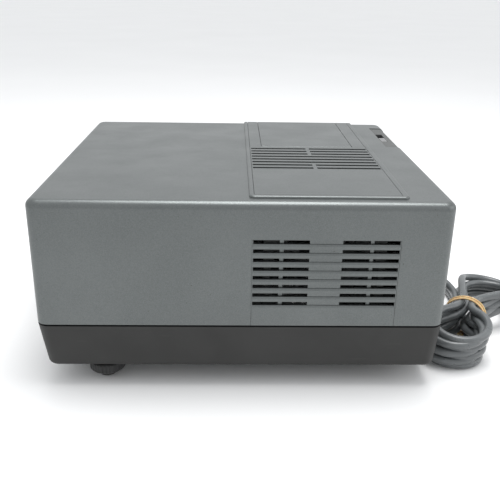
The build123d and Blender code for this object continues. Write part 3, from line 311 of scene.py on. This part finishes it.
def clear_glass(name, colour, rough):
    """Clear glass with a faint film of dust."""
    material, tree, shader = start(name, {"Transmission Weight": 1.0, "IOR": 1.52, "Coat Weight": 0.4,
                                          "Coat Tint": (0.7, 0.62, 1.0, 1.0)})
    cloud = spread(tree, noise(tree, 0.01, 3.0), 0.0, 1.0)
    tree.links.new(tint(tree, cloud, colour, tuple(0.96 * part for part in colour)), shader.inputs["Base Color"])
    tree.links.new(spread(tree, noise(tree, 0.002, 4.0), *rough), shader.inputs["Roughness"])
    return material


def galvanised():
    """The motor cans' zinc, in small crystals."""
    material, tree, shader = start("motor_can", {"Metallic": 1.0})
    distance, colour = cells(tree, 0.003)
    crystal = spread(tree, colour, 0.0, 1.0, 0.0, 1.0)
    tree.links.new(tint(tree, crystal, (0.42, 0.43, 0.44), (0.56, 0.57, 0.58)), shader.inputs["Base Color"])
    tree.links.new(spread(tree, crystal, 0.28, 0.42, 0.0, 1.0), shader.inputs["Roughness"])
    relief(tree, shader, (distance, 0.00002))
    return material


def mixed_components():
    """The parts on the board, whose colour changes from one to the next."""
    material, tree, shader = start("board_components", {"Specular IOR Level": 0.5})
    _, colour = cells(tree, 0.022)
    kind = spread(tree, colour, 0.0, 1.0, 0.35, 0.65)
    body = tint(tree, kind, (0.022, 0.024, 0.03), (0.20, 0.21, 0.22))
    tree.links.new(body, shader.inputs["Base Color"])
    tree.links.new(spread(tree, noise(tree, 0.004), 0.3, 0.5), shader.inputs["Roughness"])
    relief(tree, shader, (noise(tree, 0.0006), 0.00003))
    return material


def make_finishes():
    """Every material by its slot's name. The frame's own plain materials already hold the bare names."""
    made = [
        silver_paint(), black_shell(), laminated_iron(), wound_tape(), cord_sheath(), old_rubber(), galvanised(),
        mixed_components(),
        clear_glass("lens_glass", (0.93, 0.95, 1.0), (0.0, 0.03)),
        clear_glass("filter_glass", (0.70, 0.93, 0.90), (0.01, 0.05)),
        moulded("dark_trim", (0.058, 0.061, 0.060), (0.070, 0.073, 0.071), (0.48, 0.6), 0.6, 0.03),
        moulded("black_gloss", (0.009, 0.009, 0.010), (0.013, 0.013, 0.014), (0.12, 0.22), 3.0, 0.01,
                Coat_Weight=0.5, Coat_Roughness=0.08),
        moulded("grey_buttons", (0.17, 0.175, 0.175), (0.20, 0.205, 0.205), (0.35, 0.48), 0.4, 0.02),
        moulded("white_nylon", (0.66, 0.64, 0.58), (0.75, 0.73, 0.67), (0.38, 0.5), 0.8, 0.02,
                Subsurface_Weight=0.1, Subsurface_Scale=0.002),
        moulded("grey_nylon", (0.24, 0.25, 0.25), (0.30, 0.31, 0.31), (0.4, 0.52), 0.8, 0.02),
        moulded("black_anodised", (0.012, 0.012, 0.013), (0.020, 0.020, 0.021), (0.28, 0.4), 0.3, 0.01,
                Metallic=0.5),
        moulded("bare_steel", (0.42, 0.42, 0.41), (0.56, 0.56, 0.55), (0.25, 0.4), 0.3, 0.015, 12.0,
                (1.0, 1.0, 0.08), Metallic=1.0),
        moulded("blackened_steel", (0.045, 0.044, 0.045), (0.075, 0.073, 0.072), (0.38, 0.55), 0.5, 0.02, 15.0,
                Metallic=0.7),
        moulded("mirror_metal", (0.78, 0.79, 0.80), (0.86, 0.87, 0.88), (0.07, 0.16), 2.5, 0.02, Metallic=1.0),
        moulded("socket_ceramic", (0.66, 0.63, 0.56), (0.76, 0.74, 0.68), (0.5, 0.65), 0.4, 0.03, 8.0),
        moulded("board_resin", (0.22, 0.13, 0.05), (0.30, 0.19, 0.08), (0.35, 0.5), 0.5, 0.02, 10.0,
                (1.0, 0.2, 1.0)),
        moulded("zinc_screws", (0.50, 0.48, 0.42), (0.66, 0.65, 0.60), (0.25, 0.4), 0.3, 0.02, 3.0, Metallic=1.0),
        moulded("foot_rubber", (0.012, 0.012, 0.012), (0.026, 0.025, 0.024), (0.7, 0.88), 0.5, 0.05, 5.0),
        moulded("foot_black", (0.014, 0.014, 0.014), (0.022, 0.022, 0.022), (0.38, 0.52), 0.5, 0.03, 8.0),
        moulded("floor_paper", (0.84, 0.84, 0.84), (0.86, 0.86, 0.86), (0.7, 0.8), 1.5, 0.02, 400.0),
    ]
    return {material.name.partition(".")[0]: material for material in made}


# ---- The lead ----------------------------------------------------------------------------------------

def hank_point(along, across, z):
    """A point of the hank, from its own directions to the row frame."""
    x = HANK_MIDDLE[0] + along * math.cos(HANK_TURN) - across * math.sin(HANK_TURN)
    y = HANK_MIDDLE[1] + along * math.sin(HANK_TURN) + across * math.cos(HANK_TURN)
    return x, y, z


def band_place(crossing):
    """Across and height of a strand in the band."""
    return crossing[0] * STRAND, BAND_Z + crossing[1] * ROW


def stack_height(crossing, heights):
    """The height of the same strand where the hank's end is widest."""
    return heights[0] + (heights[1] - heights[0]) * crossing[2] / (len(HIGH_SIDE) - 1)


def neck_end(crossing, stack):
    """Where a strand's neck ends, a little of the way from the band to its stack."""
    band = band_place(crossing)
    return NECK, *(start + (end - start) * NECK_SHARE for start, end in zip(band, stack))


def touch_angle(neck, middle, radius, side):
    """The angle, seen from the middle of a fold, at which the straight run from a neck meets its circle."""
    run, rise = middle[0] - neck[0], middle[1] - neck[1]
    return math.atan2(rise, run) + side * (math.asin(radius / math.hypot(run, rise)) + math.pi / 2)


def turn(enter, leave, sides, heights, reach, way):
    """One fold of the lead: out of the band, round the hank's end and back to the band."""
    first = sides[0] + FAN[enter[2]], stack_height(enter, heights)
    last = sides[1] + FAN[enter[2]], stack_height(leave, heights)
    spread_side = math.copysign(1, first[0] - last[0])
    radius = abs(first[0] - last[0]) / 2
    middle = (reach + FURTHER[enter[2]] - radius, (first[0] + last[0]) / 2)
    out, back = neck_end(enter, first), neck_end(leave, last)
    start_at = touch_angle(out, middle, radius, spread_side)
    end_at = touch_angle(back, middle, radius, -spread_side)
    steps = round(abs(start_at - end_at) / FOLD_STEP)
    route = [out]
    for step in range(steps + 1):
        share = step / steps
        angle = start_at + (end_at - start_at) * share
        height = first[1] + (last[1] - first[1]) * share
        height -= TIP_SAG * (height - min(heights)) * math.sin(math.pi * share)
        route.append((middle[0] + radius * math.cos(angle), middle[1] + radius * math.sin(angle), height))
    route.append(back)
    return [hank_point(way * along, across, height) for along, across, height in route]


def hank_route():
    """Into the band from above, turn after turn down to the floor, and out again below."""
    route = [hank_point(*HANK_IN)]
    for number, (enter, leave) in enumerate(zip(HIGH_SIDE, LOW_SIDE)):
        route.append(hank_point(0.0, *band_place(enter)))
        route += turn(enter, leave, NEAR_SIDES, NEAR_HEIGHTS, NEAR_REACH, -1)
        route.append(hank_point(0.0, *band_place(leave)))
        if number + 1 < len(HIGH_SIDE):
            back = HIGH_SIDE[number + 1]
            route += turn(leave, back, FAR_SIDES[::-1], FAR_HEIGHTS, FAR_REACH, 1)
    route.append(hank_point(*HANK_OUT))
    return route


def run_lead():
    """The whole lead as one smooth curve, from the gland to the plug."""
    route = [*LEAD, *hank_route(), *TAIL]
    data = bpy.data.curves.new("mains_lead", "CURVE")
    data.dimensions = "3D"
    data.bevel_depth = CORD_D / 2
    data.bevel_resolution = 6
    data.use_fill_caps = True
    spline = data.splines.new("NURBS")
    spline.points.add(len(route) - 1)
    for point, where in zip(spline.points, route):
        point.co = (*where, 1.0)
    spline.order_u = 3
    spline.use_endpoint_u = True
    spline.resolution_u = 6
    data.materials.append(FINISHES["cord_grey"])
    lead = add("mains_lead", data)
    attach(lead, "case")
    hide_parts("mains_cord", "cord_hank")


# ---- Details -------------------------------------------------------------------------------------------

def sweep(name, centres, ups, profile):
    """A mesh that carries a profile round a closed loop. Each of ups points out of the loop at its centre."""
    vertices, faces = [], []
    count, sides = len(centres), len(profile)
    for number, (centre, up) in enumerate(zip(centres, ups)):
        ahead = centres[(number + 1) % count] - centres[number - 1]
        across = ahead.cross(up).normalized()
        for wide, high in profile:
            vertices.append(centre + across * wide + up * high)
    for number in range(count):
        for side in range(sides):
            near, far = number * sides, (number + 1) % count * sides
            faces.append((near + side, near + (side + 1) % sides, far + (side + 1) % sides, far + side))
    mesh = bpy.data.meshes.new(name)
    mesh.from_pydata(vertices, [], faces)
    mesh.shade_smooth()
    return add(name, mesh)


def tie_band():
    """The rubber band, wound four times round the middle of the hank, its strands touching and crossing."""
    centres, ups = [], []
    for number in range(BAND_WRAPS * BAND_STEPS):
        share = number / (BAND_WRAPS * BAND_STEPS)
        angle = math.tau * BAND_WRAPS * share
        along = BAND_DRIFT * math.cos(math.tau * share) + BAND_WOBBLE * math.sin(3 * angle + 5 * share)
        size = BAND_R + BAND_SWELL * math.sin(math.tau * 2 * share)
        across, up = math.cos(angle), math.sin(angle)
        centres.append(Vector(hank_point(along, size * across, BAND_Z + BAND_FLAT * size * up)))
        ups.append(Vector(hank_point(0, across, up)) - Vector(hank_point(0, 0, 0)))
    band = sweep("band_wraps", centres, ups, BAND_SECTION)
    band.data.materials.append(FINISHES["band_rubber"])
    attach(band, "case")
    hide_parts("rubber_band")


# ---- The whole scene -------------------------------------------------------------------------------------

def dress_frame():
    """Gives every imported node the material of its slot."""
    for part in frame["record"]["subparts"]:
        thing = frame["nodes"][part["node"]]
        for slot in thing.material_slots:
            slot.material = FINISHES[part["material_slot"]]


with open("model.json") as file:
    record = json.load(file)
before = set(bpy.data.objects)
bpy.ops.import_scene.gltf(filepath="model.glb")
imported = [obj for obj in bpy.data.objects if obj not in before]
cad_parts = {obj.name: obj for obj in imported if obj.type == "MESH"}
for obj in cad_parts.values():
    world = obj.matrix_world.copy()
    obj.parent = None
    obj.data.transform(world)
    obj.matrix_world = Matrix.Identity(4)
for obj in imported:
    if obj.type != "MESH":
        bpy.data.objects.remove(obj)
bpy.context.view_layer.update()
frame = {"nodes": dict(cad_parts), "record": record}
FINISHES = make_finishes()
aim_camera()
light_studio()
lay_floor()
dress_frame()
run_lead()
tie_band()
